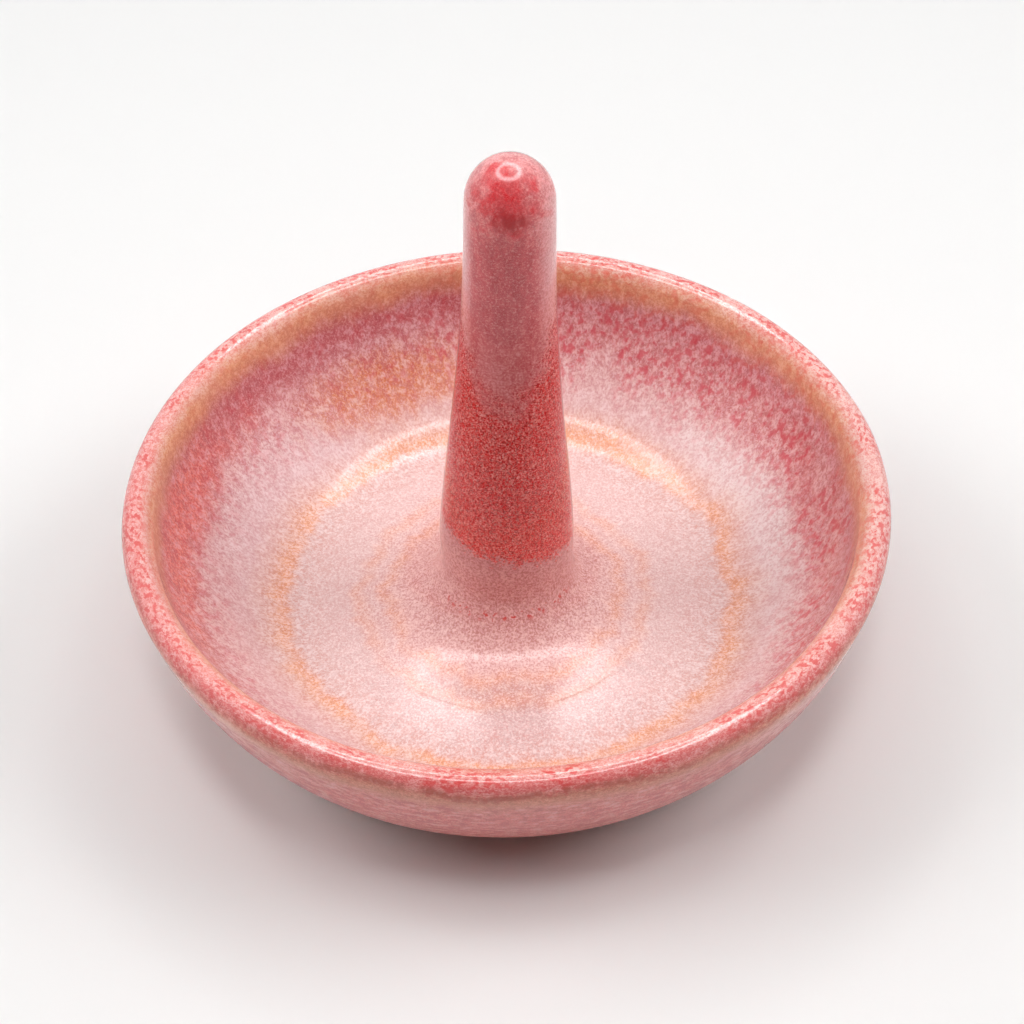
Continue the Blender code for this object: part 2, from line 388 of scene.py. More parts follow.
PALE = [
    (-2.0, (0.88, 0.58, 0.56, 0.45)), (10.0, (0.94, 0.68, 0.65, 0.50)), (18.0, (0.98, 0.78, 0.75, 0.50)),
    (30.0, (1.00, 0.84, 0.82, 0.50)), (44.0, (0.96, 0.76, 0.79, 0.42)), (54.0, (0.86, 0.52, 0.56, 0.42)),
    (58.0, (0.98, 0.62, 0.42, 0.40)), (61.0, (1.00, 0.78, 0.76, 0.45)), (63.4, (0.95, 0.56, 0.54, 0.40)),
    # Towards the foot the pale tone darkens too, partly darker glaze and partly painted shade under the
    # dish
    (65.4, (0.88, 0.46, 0.31, 0.35)), (68.0, (0.90, 0.40, 0.36, 0.45)), (92.0, (0.76, 0.34, 0.28, 0.4)),
    (96.0, (0.40, 0.20, 0.13, 0.3)),
]
SPECK = [
    (37.0, (0.70, 0.12, 0.14, 0.0)), (43.0, (0.70, 0.10, 0.13, 0.50)), (46.5, (0.67, 0.07, 0.10, 0.76)),
    (53.0, (0.60, 0.06, 0.08, 0.80)), (57.0, (0.70, 0.14, 0.07, 0.4)), (59.6, (0.86, 0.14, 0.09, 0.60)),
    (61.3, (0.80, 0.08, 0.07, 0.90)), (63.2, (0.74, 0.06, 0.06, 0.75)), (64.6, (0.60, 0.07, 0.05, 0.6)),
    (66.2, (0.54, 0.14, 0.10, 0.0)),
]
# How strongly the mottle shows along the run, and how rough the glaze is
MOTTLE = [
    (8.0, 0.30), (24.0, 0.30), (38.0, 0.55), (46.0, 0.90), (56.0, 0.90), (60.0, 0.70), (65.0, 0.70),
    (70.0, 0.55),
]
GLAZE_ROUGHNESS = [
    (-64.0, 0.08), (-54.0, 0.10), (-4.0, 0.15), (12.0, 0.15), (30.0, 0.14), (56.0, 0.14), (60.0, 0.07),
    (65.0, 0.08), (70.0, 0.20), (100.0, 0.35),
]
# Where the glaze lies thick and shines twice: the tip of the post and the crest of the rim
THICK = [
    (-64.0, 0.7), (-61.0, 0.7), (-58.5, 0.0), (59.6, 0.0), (60.8, 0.5), (62.8, 0.5), (63.8, 0.0),
]
# Glaze flushes, and a few patches of painted shade, sheen and reflection. Side in degrees from +X towards
# +Y, half width, middle and reach along the run, colour, strength
FLUSHES_AND_PAINTED_LIGHT = [
    (10.0, 45.0, 39.5, 5.5, (0.90, 0.77, 0.75, 1), 0.90),
    (150.0, 45.0, 40.5, 6.5, (0.80, 0.57, 0.58, 1), 0.75),
    (45.0, 45.0, 54.5, 3.5, (0.76, 0.38, 0.42, 1), 0.50),
    (32.0, 42.0, 48.0, 5.0, (0.70, 0.24, 0.24, 1), 0.50),
    (128.0, 45.0, 53.5, 4.5, (0.56, 0.11, 0.13, 1), 0.70),
    (180.0, 34.0, 51.0, 5.4, (0.94, 0.17, 0.11, 1), 0.75),
    (10.0, 42.0, 48.5, 5.0, (0.82, 0.44, 0.41, 1), 0.35),
    (114.0, 26.0, 43.5, 7.0, (0.73, 0.22, 0.06, 1), 0.92),
    (62.0, 36.0, 33.5, 3.6, (0.74, 0.31, 0.17, 1), 0.75),
    (200.0, 85.0, 62.6, 3.4, (0.90, 0.26, 0.24, 1), 0.60),
    (-90.0, 80.0, 58.5, 2.0, (0.90, 0.35, 0.27, 1), 0.90),
    (-90.0, 80.0, 61.0, 1.3, (0.92, 0.34, 0.27, 1), 0.65),
    (-90.0, 80.0, 63.0, 1.0, (0.78, 0.12, 0.12, 1), 0.70),
    # Painted shade: the floor in front of the post made darker and less red, offsetting the ring lamp's
    # glare there
    (-90.0, 62.0, 24.0, 8.0, (0.50, 0.34, 0.34, 1), 0.50),
    (-90.0, 28.0, 19.0, 3.4, (0.54, 0.24, 0.19, 1), 0.60),
    # Painted sheen: the collar's left and right sides made paler, standing in for the bright floor mirrored
    # at grazing angles
    (180.0, 70.0, 3.0, 9.0, (0.84, 0.56, 0.55, 1), 0.40),
    (0.0, 70.0, 0.0, 7.0, (0.82, 0.52, 0.52, 1), 0.30),
    # Painted reflection: the outer wall at the front right made paler, standing in for the pale table
    # mirrored at grazing angles
    (-15.0, 50.0, 68.0, 5.0, (0.95, 0.62, 0.59, 1), 0.65),
    (0.0, 50.0, 61.5, 2.0, (0.95, 0.62, 0.54, 1), 0.55),
    (195.0, 60.0, 66.0, 1.6, (0.90, 0.54, 0.38, 1), 0.40),
    (195.0, 55.0, 69.0, 5.0, (0.93, 0.46, 0.42, 1), 0.50),
]
# The post's colours, in the same glaze: its ground above the veil's line, with stops along the
# run up to the tip, then the crimson below with its darks and hairs, and what lies over both, among them a
# painted sheen on its sides
POST_GROUND = [
    (-63.0, (0.92, 0.32, 0.32, 1)), (-57.0, (0.88, 0.22, 0.22, 1)), (-52.0, (0.68, 0.085, 0.095, 1)),
    (-42.0, (0.66, 0.11, 0.12, 1)), (-34.0, (0.70, 0.22, 0.23, 1)), (-27.0, (0.72, 0.24, 0.24, 1)),
]
POST_LOWER = (0.73, 0.006, 0.008, 1)
POST_DARK = (0.38, 0.002, 0.003, 1)
POST_HAIR = (1.00, 0.58, 0.52, 1)
# Painted sheen: a paler colour for the post's left and right sides, standing in for the pale reflection at
# its edges
POST_SIDE_SHEEN = (0.95, 0.48, 0.48, 1)
POST_CLOUD = (0.50, 0.04, 0.05, 1)
POST_FLECK = (1.00, 0.60, 0.58, 1)
# Crimson drop on the side of the tip that faces the front, and its dark lower end
TIP_DROP = (-82.0, 74.0, -59.9, 5.2)
TIP_DROP_COLOUR = (0.76, 0.016, 0.026, 1)
DROP_END = (-74.0, 23.0, -56.7, 1.4)
DROP_END_COLOUR = (0.50, 0.002, 0.005, 1)

# Where the floor's pattern gives way to the wall's, by what share of the run that spreads down the
# wall, and by what share once it lies level, over the rim and outside
FLOOR_END = 29.0
STROKE = 0.72
LEVEL_STROKE = 0.98
LEVEL_RUN = (56.5, 70.0)
# Radius and climb of the noise that runs round the wall, and of the level bands outside
WALL_RADIUS = 44.0
WALL_CLIMB = 0.4
BAND_RADIUS = 0.8 * WALL_RADIUS
BAND_CLIMB = 1.5
# How many millimetres a zone's border sways with the slow and with the broken noise
ZONE_SWAY = (5.0, 2.4)
RING_SWAY = (3.0, 0.9)
RIM_STEADY_RUN = (56.0, 60.0)
RIM_STEADY_SHARE = 0.3
ORANGE_STEADY_RUN = (40.0, 50.0)
ORANGE_FLOOR_SHARE = 1.7
# Noise levels between which the darker and the paler strokes come in
DARK_LEVELS = (0.54, 0.36)
PALE_LEVELS = (0.50, 0.68)
CURL_STRENGTH = 0.7
RIM_START = (59.0, 61.0)
OUTSIDE_START = (65.5, 68.0)
FRONT = (0.0, -1.0, 0.0)
RIGHT = (1.0, 0.0, 0.0)
BACK_RIGHT = (0.86, 0.50, 0.0)

glaze, glaze_in, glaze_out = new_group(
    "mottled_glaze",
    [("Place", "NodeSocketVector"), ("Run", "NodeSocketFloat")],
    [
        ("Colour", "NodeSocketColor"), ("Roughness", "NodeSocketFloat"), ("Coat", "NodeSocketFloat"),
        ("Height", "NodeSocketFloat"),
    ],
)
run_here = glaze_in.outputs["Run"]
place = scaled(glaze, glaze_in.outputs["Place"], 1.0 / MM)
parts = shader_node(glaze, "ShaderNodeSeparateXYZ", {0: place})
flat_parts = {"X": parts.outputs["X"], "Y": parts.outputs["Y"]}
flat = shader_node(glaze, "ShaderNodeCombineXYZ", flat_parts).outputs[0]
turn = vector_calc(glaze, "NORMALIZE", flat)


def round_the_axis(radius, climb):
    """A place for noise that goes round the axis at one radius and climbs with the run."""
    rise = shader_node(glaze, "ShaderNodeCombineXYZ", {"Z": product(glaze, run_here, climb)}).outputs[0]
    return vector_calc(glaze, "ADD", scaled(glaze, turn, radius), rise)


wall_place = round_the_axis(WALL_RADIUS, WALL_CLIMB)
band_place = round_the_axis(BAND_RADIUS, BAND_CLIMB)

# Past the floor the fine pattern is spread out from the middle, which draws it into strokes down
# the wall; round the rim and outside it is spread more, which lays it level
stroke = fade(glaze, run_here, *LEVEL_RUN, STROKE, LEVEL_STROKE)
past_floor = product(glaze, calc(glaze, "SUBTRACT", run_here, FLOOR_END), stroke)
spread_turn = scaled(glaze, turn, calc(glaze, "ADD", past_floor, FLOOR_END))
spread_flat = vector_calc(glaze, "ADD", spread_turn, (0.0, 0.0, FLOOR_Z))
on_wall = calc(glaze, "GREATER_THAN", run_here, FLOOR_END)
stroke_place = blend(glaze, on_wall, place, spread_flat, VECTORS)

# A grain runs from about 0.2 to 0.8, and its scale is in cells per millimetre
slow = grain(glaze, wall_place, scale=0.11, detail=2.0)
broken = grain(glaze, wall_place, scale=0.9, detail=2.0)


def swayed_by(slow_width, broken_width):
    return calc(glaze, "ADD", centred(glaze, slow, slow_width), centred(glaze, broken, broken_width))


rim_steady = fade(glaze, run_here, *RIM_STEADY_RUN, 1.0, RIM_STEADY_SHARE)
run_mottled = calc(glaze, "ADD", run_here, product(glaze, swayed_by(*ZONE_SWAY), rim_steady))
patchy = grain(glaze, wall_place, scale=0.35, detail=3.0)
colour = along_run(glaze, run_mottled, GROUND).outputs["Color"]
for side, half_width, middle, reach, tint, strength in FLUSHES_AND_PAINTED_LIGHT:
    mask = flush_mask(glaze, turn, run_here, patchy, side, half_width, middle, reach)
    colour = blend(glaze, product(glaze, mask, strength), colour, tint)
ring_sway = swayed_by(*RING_SWAY)
orange_steady = fade(glaze, run_here, *ORANGE_STEADY_RUN, ORANGE_FLOOR_SHARE, 1.0)
wide_sway = product(glaze, ring_sway, orange_steady)
orange = along_run(glaze, calc(glaze, "ADD", run_here, wide_sway), ORANGE)
ring_break = fade(glaze, grain(glaze, wall_place, scale=0.16, detail=3.0), 0.34, 0.58, 0.5, 1.0)
colour = tinted(glaze, ring_break, colour, orange)

# Mottle of millimetre size, then the finer net of darker and paler strokes and curly threads
dark = along_run(glaze, run_mottled, DARK)
pale = along_run(glaze, run_mottled, PALE)
mottle_amount = amount_along_run(glaze, run_here, MOTTLE)
mottle = grain(glaze, stroke_place, scale=0.85, detail=2.0, distortion=0.3)
for tone, levels in ((dark, DARK_LEVELS), (pale, PALE_LEVELS)):
    colour = tinted(glaze, product(glaze, fade(glaze, mottle, *levels), mottle_amount), colour, tone)
net = grain(glaze, stroke_place, scale=3.4, distortion=0.6)
curls = threads(glaze, stroke_place, scale=2.4, width=0.05)
net_dark = fade(glaze, net, *DARK_LEVELS)
net_light = fade(glaze, net, *PALE_LEVELS)
net_pale = calc(glaze, "MAXIMUM", net_light, product(glaze, curls, CURL_STRENGTH))
colour = tinted(glaze, net_dark, colour, dark)
colour = tinted(glaze, net_pale, colour, pale)

# Specks: small crimson drops down the wall, thickest on the right, and larger blotches on the rim
drops = fade(glaze, grain(glaze, stroke_place, scale=0.95, detail=2.0, distortion=0.3), 0.44, 0.66)
blotches = fade(glaze, grain(glaze, stroke_place, scale=1.05, detail=3.0, distortion=0.3), 0.46, 0.60)
on_rim = fade(glaze, run_here, *RIM_START)
dots = blend(glaze, on_rim, drops, blotches, NUMBERS)
crowd = fade(glaze, grain(glaze, wall_place, scale=0.18), 0.34, 0.54)
right_side = fade(glaze, vector_calc(glaze, "DOT_PRODUCT", turn, BACK_RIGHT), 0.0, 0.7, 0.45, 1.0)
speck = along_run(glaze, run_mottled, SPECK)
side_share = calc(glaze, "MAXIMUM", right_side, on_rim)
colour = tinted(glaze, product(glaze, dots, crowd, side_share), colour, speck)

# A row of tiny crimson dots on the collar's flare, at the front only
DOT_ROW_RUN = 7.9
DOT_ROW_REACH = 1.1
DOT_COLOUR = (0.62, 0.09, 0.08, 1)
in_row = fade(glaze, away_from(glaze, run_here, DOT_ROW_RUN), DOT_ROW_REACH, 0.0)
facing_front = vector_calc(glaze, "DOT_PRODUCT", turn, FRONT)
row_dots = product(glaze, fade(glaze, grain(glaze, place, scale=1.6), 0.58, 0.66), in_row)
row_share = product(glaze, row_dots, fade(glaze, facing_front, 0.3, 0.8))
colour = blend(glaze, row_share, colour, DOT_COLOUR)

# Under the rim the glaze breaks in a ragged brown line, and fine level streaks run round the
# outer wall
BREAK_RUN = 64.3
BREAK_EDGE = (0.75, 0.1)
BREAK_COLOUR = (0.48, 0.09, 0.06, 1)
DARK_STREAK = (0.54, 0.12, 0.12, 1)
PALE_STREAK = (0.92, 0.46, 0.43, 1)
off_line = away_from(glaze, calc(glaze, "ADD", run_here, ring_sway), BREAK_RUN)
torn_line = product(glaze, fade(glaze, off_line, *BREAK_EDGE), fade(glaze, broken, 0.36, 0.52))
line_amount = fade(glaze, facing_front, 0.75, 1.0, 0.25, 0.65)
colour = blend(glaze, product(glaze, torn_line, line_amount), colour, BREAK_COLOUR)
bands = grain(glaze, band_place, scale=0.8, detail=3.0)
outside = fade(glaze, run_here, *OUTSIDE_START)
dark_streaks = product(glaze, fade(glaze, bands, 0.50, 0.64), outside, 0.60)
pale_streaks = product(glaze, fade(glaze, bands, 0.48, 0.34), outside, 0.45)
colour = blend(glaze, dark_streaks, colour, DARK_STREAK)
colour = blend(glaze, pale_streaks, colour, PALE_STREAK)

# Post: crimson with pale hairs below, thinner and mauve above a soft line that sags at the front.
# The crimson ends in a wavy line that is lower on the right.
CRIMSON_END = 22.8
CRIMSON_SLOPE = -2.2
CRIMSON_EDGE = (-0.8, 0.8)
VEIL_START = 60.0
VEIL_SAG = 11.5
VEIL_EDGE = (-5.0, 4.0)
DRAWN_OUT = (1.0, 1.0, 0.5)
POST_SHEEN_START = (-61.0, -56.0)
POST_REACH = (12.0, 13.0)
to_right = vector_calc(glaze, "DOT_PRODUCT", turn, RIGHT)
line_height = calc(glaze, "ADD", CRIMSON_END, product(glaze, to_right, CRIMSON_SLOPE))
above = calc(glaze, "SUBTRACT", parts.outputs["Z"], line_height)
ripple = centred(glaze, grain(glaze, place, scale=0.55, detail=3.0), 3.6)
crumbs = centred(glaze, grain(glaze, place, scale=2.2), 5.0)
torn_edge = calc(glaze, "ADD", calc(glaze, "ADD", above, ripple), crumbs)
crimson = fade(glaze, torn_edge, *CRIMSON_EDGE)
veil_line = calc(glaze, "SUBTRACT", VEIL_START, product(glaze, facing_front, facing_front, VEIL_SAG))
veil_ripple = centred(glaze, grain(glaze, place, scale=0.5, detail=3.0), 12.0)
veil_edge = calc(glaze, "ADD", calc(glaze, "SUBTRACT", parts.outputs["Z"], veil_line), veil_ripple)
veil = fade(glaze, calc(glaze, "ADD", veil_edge, centred(glaze, net, 9.0)), *VEIL_EDGE)
drawn_place = vector_calc(glaze, "MULTIPLY", place, DRAWN_OUT)
smear = grain(glaze, drawn_place, scale=0.75, detail=3.0, distortion=0.4)
cloud = fade(glaze, smear, 0.40, 0.64, 0.0, 0.5)
thin = blend(glaze, cloud, along_run(glaze, run_here, POST_GROUND).outputs["Color"], POST_CLOUD)
# Painted sheen: where the post faces left or right the colour is made paler, standing in for the reflection
# at its edges
painted_side_sheen = fade(glaze, calc(glaze, "ABSOLUTE", to_right), 0.60, 1.0, 0.0, 0.85)
sheen_amount = product(glaze, painted_side_sheen, fade(glaze, run_here, *POST_SHEEN_START))
thin = blend(glaze, sheen_amount, thin, POST_SIDE_SHEEN)
drop_noise = grain(glaze, place, scale=0.42, detail=3.0, distortion=0.4)
ragged_drop = calc(glaze, "ADD", NOISE_MIDDLE, centred(glaze, drop_noise, 2.4))
drop = flush_mask(glaze, turn, run_here, ragged_drop, *TIP_DROP)
end_noise = grain(glaze, drawn_place, scale=1.1, detail=3.0)
ragged_end = calc(glaze, "ADD", NOISE_MIDDLE, centred(glaze, end_noise, 1.8))
drop_end = flush_mask(glaze, turn, run_here, ragged_end, *DROP_END)
drop_share = product(glaze, drop, fade(glaze, smear, 0.38, 0.60, 0.98, 0.60))
thin = blend(glaze, drop_share, thin, TIP_DROP_COLOUR)
end_share = product(glaze, drop_end, fade(glaze, smear, 0.36, 0.62, 0.95, 0.55))
thin = blend(glaze, end_share, thin, DROP_END_COLOUR)
thin = blend(glaze, product(glaze, net_dark, 0.35), thin, POST_CLOUD)
fine = threads(glaze, place, scale=3.2, width=0.048)
in_drop = calc(glaze, "MAXIMUM", product(glaze, drop, 0.6), drop_end)
fleck_amount = fade(glaze, in_drop, 0.0, 1.0, 0.34, 0.04)
flecks = calc(glaze, "MAXIMUM", fade(glaze, net, 0.54, 0.70), product(glaze, fine, CURL_STRENGTH))
thin = blend(glaze, product(glaze, flecks, fleck_amount), thin, POST_FLECK)
thick = blend(glaze, product(glaze, net_dark, 0.8), POST_LOWER, POST_DARK)
hairs = calc(glaze, "MAXIMUM", product(glaze, fade(glaze, net, 0.62, 0.69), 0.8), fine)
thick = blend(glaze, product(glaze, hairs, 0.8), thick, POST_HAIR)
post_colour = blend(glaze, veil, thick, thin)
near_axis = fade(glaze, vector_calc(glaze, "LENGTH", flat), *POST_REACH, 1.0, 0.0)
colour = blend(glaze, product(glaze, crimson, near_axis), colour, post_colour)

# The glaze's surface is slightly wavy, and calmer over the rim where it is stretched thin
RIM_CALM_RUN = (55.0, 60.0)
RIM_CALM_SHARE = 0.2
slow_waves = centred(glaze, grain(glaze, place, scale=0.10, detail=0.0), 1.0)
small_waves = centred(glaze, grain(glaze, place, scale=0.9), 0.02)
rim_calm = fade(glaze, run_here, *RIM_CALM_RUN, 1.0, RIM_CALM_SHARE)
waves = product(glaze, calc(glaze, "ADD", slow_waves, small_waves), rim_calm)
glaze.links.new(colour, glaze_out.inputs["Colour"])
glaze.links.new(amount_along_run(glaze, run_here, GLAZE_ROUGHNESS), glaze_out.inputs["Roughness"])
glaze.links.new(amount_along_run(glaze, run_here, THICK), glaze_out.inputs["Coat"])
glaze.links.new(waves, glaze_out.inputs["Height"])

# In metres, as the finished mesh is
GLAZE_RELIEF = 0.00012
GLAZE_IOR = 1.5
COAT_IOR = 1.6
DISH_COAT_ROUGHNESS = 0.06
POST_COAT_ROUGHNESS = 0.16


def glaze_finish(name, coat_roughness):
    """A glossy glaze: the shared mottled colour under one clear shader."""
    material = bpy.data.materials.new(name)
    material.use_nodes = True
    tree = material.node_tree
    shader = tree.nodes["Principled BSDF"]
    coat = tree.nodes.new("ShaderNodeGroup")
    coat.node_tree = glaze
    coordinates = tree.nodes.new("ShaderNodeTexCoord")
    tree.links.new(coordinates.outputs["Object"], coat.inputs["Place"])
    run = shader_node(tree, "ShaderNodeAttribute", attribute_name="run")
    tree.links.new(run.outputs["Fac"], coat.inputs["Run"])
    relief = {"Height": coat.outputs["Height"], "Distance": GLAZE_RELIEF}
    bump = shader_node(tree, "ShaderNodeBump", relief)
    tree.links.new(coat.outputs["Colour"], shader.inputs["Base Color"])
    tree.links.new(coat.outputs["Roughness"], shader.inputs["Roughness"])
    tree.links.new(coat.outputs["Coat"], shader.inputs["Coat Weight"])
    tree.links.new(bump.outputs["Normal"], shader.inputs["Normal"])
    shader.inputs["IOR"].default_value = GLAZE_IOR
    shader.inputs["Coat IOR"].default_value = COAT_IOR
    shader.inputs["Coat Roughness"].default_value = coat_roughness
    return material


rim_inner_radius = DISH_RADIUS - RIM_WIDTH
floor_radius = rim_inner_radius - WALL_RUN
rim_side_z = DISH_TOP - RIM_ROLL_HEIGHT

bed_z = FLOOR_Z - COLLAR_BED_DEPTH
bed = [(0.0, bed_z), (COLLAR_BED_RADIUS - COLLAR_BED_SLOPE, bed_z)]

floor = []
for step in range(FLOOR_POINTS + 1):
    share = 1 - step / FLOOR_POINTS
    radius = floor_radius - (floor_radius - COLLAR_BED_RADIUS) * share
    floor.append((radius, FLOOR_Z + FLOOR_RISE * share ** 2))

corner_centre = (floor_radius, FLOOR_Z + CORNER_RADIUS)
corner = arc(corner_centre, CORNER_RADIUS, CORNER_RADIUS, -90.0, CORNER_DEGREES - 90.0, CORNER_POINTS)

wall_foot = corner[-1]
wall_top = (rim_inner_radius, rim_side_z)
wall_turn = math.radians(CORNER_DEGREES)
wall_reach = INNER_WALL_FOOT_SHARE * math.dist(wall_foot, wall_top)
foot_reach = (wall_reach * math.cos(wall_turn), wall_reach * math.sin(wall_turn))
foot_handle = (wall_foot[0] + foot_reach[0], wall_foot[1] + foot_reach[1])
top_handle = between(wall_top, wall_foot, INNER_WALL_TOP_SHARES)
inner_wall = curve(wall_foot, foot_handle, top_handle, wall_top, WALL_POINTS)

crest_run = RIM_WIDTH * RIM_CREST_SHARE
crest_centre = (rim_inner_radius + crest_run, rim_side_z)
rim_inside = arc(crest_centre, crest_run, RIM_ROLL_HEIGHT, 180.0, 90.0, RIM_POINTS)
crest = (rim_inner_radius + crest_run, DISH_TOP)
outer_top = (DISH_RADIUS, rim_side_z)
shoulder_handles = [between(crest, outer_top, shares) for shares in RIM_SHOULDER_SHARES]
rim_outside = curve(crest, *shoulder_handles, outer_top, RIM_SHOULDER_POINTS)

outer_foot = (FOOT_RADIUS + SLIP_GAP + FOOT_LAND, UNDERSIDE)
outer_wall = curve(
    outer_top,
    between(outer_top, outer_foot, OUTER_WALL_TOP_SHARES),
    between(outer_top, outer_foot, OUTER_WALL_FOOT_SHARES),
    outer_foot,
    OUTER_POINTS,
)

groove_outside = FOOT_RADIUS + SLIP_GAP
groove_inside = FOOT_RADIUS - FOOT_WIDTH - SLIP_GAP
groove_z = UNDERSIDE + FOOT_SEAT_DEPTH
groove = eased(
    [
        outer_foot, (groove_outside, UNDERSIDE), (groove_outside, groove_z),
        (groove_inside, groove_z), (groove_inside, UNDERSIDE), (0.0, UNDERSIDE),
    ],
    EDGE_EASE,
)

dish_outline = joined(bed, floor, corner, inner_wall, rim_inside, rim_outside, outer_wall, groove)
dish = thrown("dish_glazed", dish_outline, len(bed), COLLAR_BED_RADIUS, HAND_WAVER)
pushed(dish)
dish.data.materials.append(glaze_finish("pink_glaze_look", DISH_COAT_ROUGHNESS))
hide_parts("dish")
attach(dish, "root")

# Foot ring.
# A ring of the same clay, thrown on under the dish and wiped clean of glaze so that it doesn't
# stick to the kiln shelf. It is bare, buff and a little gritty.

FOOT_EDGE_RADIUS = 1.0
FOOT_GROUND = 0.01
EDGE_POINTS = 4
foot_top_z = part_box("foot_ring")[1][2] / MM
foot_inner_radius = FOOT_RADIUS - FOOT_WIDTH
edge_z = FOOT_GROUND + FOOT_EDGE_RADIUS
outer_edge_centre = (FOOT_RADIUS - FOOT_EDGE_RADIUS, edge_z)
inner_edge_centre = (foot_inner_radius + FOOT_EDGE_RADIUS, edge_z)
outer_edge = arc(outer_edge_centre, FOOT_EDGE_RADIUS, FOOT_EDGE_RADIUS, 0.0, -90.0, EDGE_POINTS)
inner_edge = arc(inner_edge_centre, FOOT_EDGE_RADIUS, FOOT_EDGE_RADIUS, -90.0, -180.0, EDGE_POINTS)
foot_top = eased(
    [inner_edge[-1], (foot_inner_radius, foot_top_z), (FOOT_RADIUS, foot_top_z), outer_edge[0]], EDGE_EASE
)
foot_outline = joined(outer_edge, inner_edge, foot_top[1:-1])
foot = thrown("foot_ring_bare", foot_outline, start=0, start_run=0.0, closed=True)

CLAY_DARK = (0.56, 0.41, 0.27, 1)
CLAY_LIGHT = (0.68, 0.52, 0.38, 1)
GROG_COLOUR = (0.30, 0.18, 0.11, 1)
GROG_STRENGTH = 0.7
CLAY_ROUGHNESS = 0.85
CLAY_RELIEF = 0.0002
bare = bpy.data.materials.new("bare_stoneware_look")
bare.use_nodes = True
clay = bare.node_tree
clay_place = scaled(clay, clay.nodes.new("ShaderNodeTexCoord").outputs["Object"], 1.0 / MM)
grog = fade(clay, grain(clay, clay_place, scale=2.6, detail=2.0), 0.60, 0.70)
warmth = grain(clay, clay_place, scale=0.25, detail=3.0)
clay_colour = blend(clay, warmth, CLAY_DARK, CLAY_LIGHT)
clay_colour = blend(clay, product(clay, grog, GROG_STRENGTH), clay_colour, GROG_COLOUR)
clay_shader = clay.nodes["Principled BSDF"]
clay.links.new(clay_colour, clay_shader.inputs["Base Color"])
clay_shader.inputs["Roughness"].default_value = CLAY_ROUGHNESS
grit = grain(clay, clay_place, scale=1.8, detail=4.0)
clay_bump = shader_node(clay, "ShaderNodeBump", {"Height": grit, "Distance": CLAY_RELIEF})
clay.links.new(clay_bump.outputs["Normal"], clay_shader.inputs["Normal"])
foot.data.materials.append(bare)
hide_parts("foot_ring")
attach(foot, "root")

# Collar round the post's foot.
# A coil of soft clay packed round the post and smoothed out over the floor, so that the post
# flares into the dish. The glaze runs off the post here and goes from crimson to pale mauve.

SHOULDER_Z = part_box("post_collar")[1][2] / MM
POST_BASE_RADIUS = 9.3
COLLAR_SPREAD = 12.65
COLLAR_TOP_SHARES = (0.027, 0.48)
COLLAR_TOE_SHARES = (-0.215, 0.929)
COLLAR_POINTS = 20
TOE_SINK = 0.03
# Collar and post lap over each other at the shoulder, each end tucked in below the other's glaze
LAP = 0.9
LAP_TUCK = 0.1
LAP_END = (0.7, 0.5)

toe_radius = POST_BASE_RADIUS + COLLAR_SPREAD
flare_top = (POST_BASE_RADIUS, SHOULDER_Z)
toe_share = (floor_radius - toe_radius) / (floor_radius - COLLAR_BED_RADIUS)
flare_toe = (toe_radius, FLOOR_Z + FLOOR_RISE * toe_share ** 2 - TOE_SINK)
flare = curve(
    flare_top,
    between(flare_top, flare_toe, COLLAR_TOP_SHARES),
    between(flare_top, flare_toe, COLLAR_TOE_SHARES),
    flare_toe,
    COLLAR_POINTS,
)
lip_z = SHOULDER_Z + LAP
lip_end_z = lip_z + LAP_END[1]
lip = [(0.0, lip_end_z), (POST_BASE_RADIUS - LAP_END[0], lip_end_z), (POST_BASE_RADIUS - LAP_TUCK, lip_z)]
under_z = bed_z + SLIP_GAP
under_radius = COLLAR_BED_RADIUS - COLLAR_BED_SLOPE
under = [(toe_radius, flare_toe[1] - TOE_SINK), (under_radius, under_z), (0.0, under_z)]
collar_outline = joined(lip, flare, under)
toe_index = collar_outline.index(flare_toe)
collar = thrown("post_collar_glazed", collar_outline, toe_index, toe_radius, HAND_WAVER)
pushed(collar)
collar.data.materials.append(glaze_finish("mauve_glaze_look", DISH_COAT_ROUGHNESS))
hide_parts("post_collar")
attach(collar, "root")

# Ring post.
# A solid shaft rolled by hand, thicker below, with a round tip. It stands in the collar and leans
# a little to one side. The glaze is thin here and fires to crimson with fine pale hairs.

POST_TIP_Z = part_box("ring_post")[1][2] / MM
POST_TOP_RADIUS = 5.6
POST_DOME_HEIGHT = 6.0
POST_TOP_SHARES = (0.027, 0.467)
POST_BASE_SHARES = (0.757, 0.722)
DOME_POINTS = 8
SHAFT_POINTS = 13
LEAN = math.radians(1.7)
SHOULDER_RUN = -0.5

dome_centre = (0.0, POST_TIP_Z - POST_DOME_HEIGHT)
dome = arc(dome_centre, POST_TOP_RADIUS, POST_DOME_HEIGHT, 90.0, 0.0, DOME_POINTS)
shaft_foot = (POST_BASE_RADIUS, SHOULDER_Z)
shaft = curve(
    dome[-1],
    between(dome[-1], shaft_foot, POST_TOP_SHARES),
    between(dome[-1], shaft_foot, POST_BASE_SHARES),
    shaft_foot,
    SHAFT_POINTS,
)
root_z = SHOULDER_Z - LAP
root_end_z = root_z - LAP_END[1]
root_radius = POST_BASE_RADIUS - LAP_END[0]
root = [(POST_BASE_RADIUS - LAP_TUCK / 2, root_z), (root_radius, root_end_z), (0.0, root_end_z)]
post_outline = joined(dome, shaft, root)
shoulder_index = post_outline.index(shaft[-1])
post = thrown("ring_post_glazed", post_outline, shoulder_index, SHOULDER_RUN, HAND_WAVER)
shoulder = Matrix.Translation((0.0, 0.0, SHOULDER_Z * MM))
post.data.transform(shoulder @ Matrix.Rotation(LEAN, 4, "Y") @ shoulder.inverted())
post.data.materials.append(glaze_finish("crimson_glaze_look", POST_COAT_ROUGHNESS))
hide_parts("ring_post")
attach(post, "root")

# Table, light and camera.
# A plain pale table, a ring lamp above and a little behind the dish, with a second one in its place
# for its shine alone, and softboxes in front and at the sides that don't show in the glaze.

